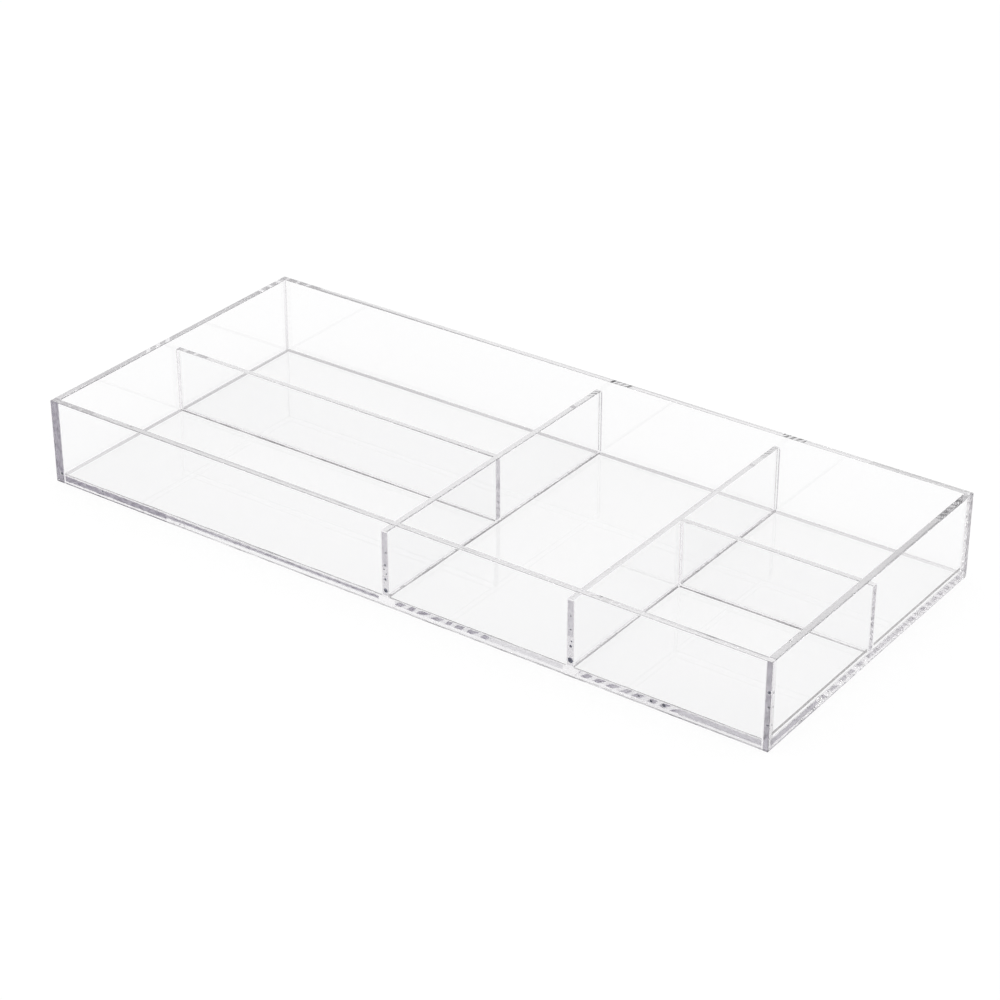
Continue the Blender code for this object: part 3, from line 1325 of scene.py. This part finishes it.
@dataclass
class CementRun:
    """Set cement of one cross-section along inside corners, uneven along its length."""

    name: str
    cement: SetCement
    inset: float
    clearance: float = 0.012 * MILLIMETRE
    step: float = 2.5 * MILLIMETRE
    waviness: float = 0.2
    wave_repeats: float = 90.0
    wave_band: Pair = (0.3, 0.7)
    seed: float = 3.0
    fewest_steps: int = 2

    def section(self) -> list[Pair]:
        """Outline of the cement, as distances from the corner along its first and second way."""
        raise NotImplementedError

    def build(self, corners: list[Corner]) -> bpy.types.Object:
        """Runs the cement along each corner.

        Args:
            corners: The inside corners to dress.

        Returns:
            All of it as one object.
        """
        recipe = Recipe("uneven_cement")
        waviness = recipe.ask("Waviness")
        repeats = recipe.ask("Wave Repeats")
        seed = recipe.ask("Seed")
        material = recipe.ask("Material", "NodeSocketMaterial")
        line = recipe.read("corner_line", "FLOAT_VECTOR")
        place = recipe.node("GeometryNodeInputPosition").outputs[0]
        reach = recipe.node("ShaderNodeVectorMath", {0: place, 1: line}, operation="SUBTRACT")
        noise = recipe.node("ShaderNodeTexNoise", {
            "Vector": line, "W": seed, "Scale": repeats, "Detail": 1.0}, noise_dimensions="4D")
        swing = recipe.spread(noise.outputs[0], self.wave_band, (-1.0, 1.0))
        change = recipe.calc("MULTIPLY", swing, waviness)
        moved = recipe.node("GeometryNodeSetPosition", {
            "Geometry": recipe.given.outputs[0], "Offset": recipe.stretched(reach.outputs[0], change)})
        recipe.finish(moved.outputs["Geometry"], material)
        return recipe.apply(self._plain_run(corners), self.name, {
            "Waviness": self.waviness, "Wave Repeats": self.wave_repeats, "Seed": self.seed,
            "Material": self.cement.material()})

    def _plain_run(self, corners: list[Corner]) -> bpy.types.Mesh:
        """Makes even runs, each with its corner line kept on its points.

        Args:
            corners: The inside corners to dress.

        Returns:
            The runs.
        """
        beads = bmesh.new()
        corner_line = beads.verts.layers.float_vector.new("corner_line")
        section = self.section()
        for corner in corners:
            way = (corner.end - corner.start).normalized()
            length = (corner.end - corner.start).length - 2 * self.inset
            steps = max(self.fewest_steps, round(length / self.step))
            rings = []
            for number in range(steps + 1):
                middle = corner.start + way * (self.inset + length * number / steps)
                middle = middle + self.clearance * (corner.first + corner.second)
                ring = []
                for along_first, along_second in section:
                    out = along_first * corner.first + along_second * corner.second
                    vert = beads.verts.new(middle + out)
                    vert[corner_line] = middle
                    ring.append(vert)
                rings.append(ring)
            for lower, upper in zip(rings, rings[1:]):
                for number in range(len(section)):
                    after = (number + 1) % len(section)
                    beads.faces.new((lower[number], lower[after], upper[after], upper[number]))
            beads.faces.new(rings[0][::-1])
            beads.faces.new(rings[-1])
        bmesh.ops.recalc_face_normals(beads, faces=beads.faces[:])
        return finished_mesh(beads, "plain_run")


@dataclass
class CementBead(CementRun):
    """A fine hollow fillet in the corner."""

    radius: float = 0.35 * MILLIMETRE
    arc_points: int = 4

    def section(self) -> list[Pair]:
        """Outline of a bead, with a hollow arc towards the bay.

        Returns:
            Distances from the corner along its first and second way.
        """
        arc = []
        for step in range(self.arc_points + 1):
            angle = math.pi / 2 * step / self.arc_points
            arc.append((self.radius * (1 - math.sin(angle)), self.radius * (1 - math.cos(angle))))
        return [(0.0, 0.0), *arc]


@dataclass
class TideMark(CementRun):
    """The thick border that cement dried to, some way up the face from the corner."""

    height: float = 2.4 * MILLIMETRE
    width: float = 1.5 * MILLIMETRE
    swell: float = 0.12 * MILLIMETRE

    def section(self) -> list[Pair]:
        """Outline of a low ridge that lies on the face, half as wide on top."""
        return [(self.height - self.width / 2, 0.0), (self.height + self.width / 2, 0.0),
                (self.height + self.width / 4, self.swell), (self.height - self.width / 4, self.swell)]


FINE_BEADS = CementBead(
    name="fine_cement_beads",
    cement=SetCement("fine_bead_cement", (0.93, 0.925, 0.93), (0.84, 0.83, 0.84)),
    inset=0.7 * MILLIMETRE, waviness=0.08, step=6.0 * MILLIMETRE)

# Painted shade: the grey of these beads stands for the floor's shadow that a hollow fillet mirrors
END_BEADS = CementBead(
    name="end_cement_beads",
    cement=SetCement("end_bead_shaded_cement", (0.72, 0.71, 0.73), (0.6, 0.59, 0.61)),
    inset=0.7 * MILLIMETRE, waviness=0.08, step=6.0 * MILLIMETRE)

# Painted shade: the grey of these beads stands for the floor's shadow that a hollow fillet mirrors
FULL_BEADS = CementBead(
    name="full_cement_beads",
    cement=SetCement("full_bead_shaded_cement", (0.62, 0.61, 0.62), (0.42, 0.41, 0.42)),
    inset=0.7 * MILLIMETRE, waviness=0.3, radius=0.5 * MILLIMETRE)

# Painted shade: the tide mark's dark grey stands for the floor's shadow beside the wall, mirrored in the
# cement
END_WALL_TIDE = TideMark(
    name="end_wall_tide_mark",
    cement=SetCement("tide_shaded_cement", (0.34, 0.325, 0.33), (0.25, 0.235, 0.235)),
    inset=1.5 * MILLIMETRE, waviness=0.05, wave_repeats=25.0)


@dataclass
class Studio:
    """Pale floor, soft light and the camera of the product view."""

    floor_half_width: float = 6.0
    floor_drop: float = 0.2 * MILLIMETRE
    floor_colour: Colour = (0.13, 0.13, 0.13)
    floor_white: float = 0.9
    horizon: Colour = (1.0, 1.0, 1.0)
    sky: tuple[tuple[float, Colour], ...] = (
        (0.52, (1.0, 1.0, 1.0)),
        (0.65, (0.65, 0.64, 0.65)),
        (0.8, (0.9, 0.89, 0.9)),
    )
    aim: Vector = field(default_factory=lambda: Vector((0.0294, -0.0389, 0.0420)))
    azimuth: float = 35.797
    elevation: float = 29.065
    roll: float = -0.06
    distance: float = 1.274644
    lens_mm: float = 100.864
    sensor_mm: float = 36.0

    def build(self) -> None:
        """Builds floor, world and camera."""
        self._floor()
        self._world()
        self._camera()

    def _floor(self) -> None:
        """Lays a wide pale floor just under the tray."""
        plane = bmesh.new()
        bmesh.ops.create_grid(plane, x_segments=1, y_segments=1, size=self.floor_half_width)
        bmesh.ops.translate(plane, vec=(0, 0, -self.floor_drop), verts=plane.verts)
        floor = in_scene("studio_floor", finished_mesh(plane, "studio_floor"))
        shading = Shading("studio_floor")
        pale = shading.node("ShaderNodeBsdfDiffuse", {"Color": rgba(self.floor_colour)})
        white = shading.node("ShaderNodeEmission", {"Strength": self._seen(shading)})
        both = shading.node("ShaderNodeAddShader", {0: pale.outputs["BSDF"], 1: white.outputs["Emission"]})
        floor.data.materials.append(shading.finish(both.outputs["Shader"]))

    def _seen(self, shading: Shading) -> Socket:
        """The floor's whiteness for rays that come from the camera, straight or by way of gloss or glass.

        Args:
            shading: The floor's tree.

        Returns:
            The whiteness for such a ray, and 0 for any other.
        """
        path = shading.node("ShaderNodeLightPath").outputs
        first = shading.calc("MAXIMUM", path["Is Camera Ray"], path["Is Glossy Ray"])
        any_seen = shading.calc("MAXIMUM", first, path["Is Transmission Ray"])
        return shading.calc("MULTIPLY", any_seen, self.floor_white)

    def _world(self) -> None:
        """Lights the scene from all round: a white horizon, a greyer sky and a bright overhead."""
        world = bpy.data.worlds.new("studio_light")
        bpy.context.scene.world = world
        world.use_nodes = True
        light = TreeWriter(world.node_tree)
        way = light.node("ShaderNodeTexCoord")
        split = light.node("ShaderNodeSeparateXYZ", {0: way.outputs["Generated"]})
        height = light.node("ShaderNodeValToRGB", {0: split.outputs["Z"]})
        light.tree.links.new(height.outputs[0], light.tree.nodes["Background"].inputs["Color"])
        steps = height.color_ramp.elements
        for step in steps:
            step.color = rgba(self.horizon)
        for place, colour in self.sky:
            steps.new(place).color = rgba(colour)

    def _camera(self) -> None:
        """Stands the camera where the product view was taken from."""
        azimuth, elevation, roll = map(math.radians, (self.azimuth, self.elevation, self.roll))
        back = Vector((math.sin(azimuth) * math.cos(elevation), -math.cos(azimuth) * math.cos(elevation),
                       math.sin(elevation)))
        level = Vector((math.cos(azimuth), math.sin(azimuth), 0.0))
        upright = back.cross(level)
        right = math.cos(roll) * level + math.sin(roll) * upright
        up = math.cos(roll) * upright - math.sin(roll) * level
        pose = Matrix((right, up, back)).transposed().to_4x4()
        pose.translation = self.aim + self.distance * back
        lens = bpy.data.cameras.new("product_camera")
        lens.sensor_width = self.sensor_mm
        lens.lens = self.lens_mm
        camera = in_scene("product_camera", lens)
        camera.matrix_world = pose
        bpy.context.scene.camera = camera


def main() -> None:
    """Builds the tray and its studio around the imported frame."""
    logging.basicConfig(level=logging.INFO, format="%(name)s: %(message)s")
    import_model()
    tray = DividedTray()
    pieces = tray.build()
    corners = tray.corners()
    end_wall_foot = [corner for corner in corners
                     if corner.node == "base_plate" and corner.side is Side.RIGHT]
    unfused = [corner for corner in corners if (corner.node, corner.side) in tray.unfused_ends]
    fed = [corner for corner in corners if corner.was_fed]
    unfed = [corner for corner in corners if not corner.was_fed and corner not in unfused]
    runs = ((FINE_BEADS, unfed), (END_BEADS, unfused), (FULL_BEADS, fed), (END_WALL_TIDE, end_wall_foot))
    pieces += [run.build(where) for run, where in runs]
    pieces += [kind.build(tray.by_node()) for kind in (COARSE_BUBBLES, FINE_BUBBLES, SHADED_BUBBLES)]
    for piece in pieces:
        LOG.info("%s: %d faces", piece.name, len(piece.data.polygons))
    Studio().build()
    scene = bpy.context.scene
    scene.view_settings.view_transform = "Standard"
    scene.cycles.max_bounces = GUIDED_BOUNCES
    scene.cycles.transmission_bounces = GUIDED_BOUNCES
    scene.cycles.glossy_bounces = GUIDED_BOUNCES
    scene.cycles.transparent_max_bounces = GUIDED_BOUNCES


if __name__ == "__main__":
    main()
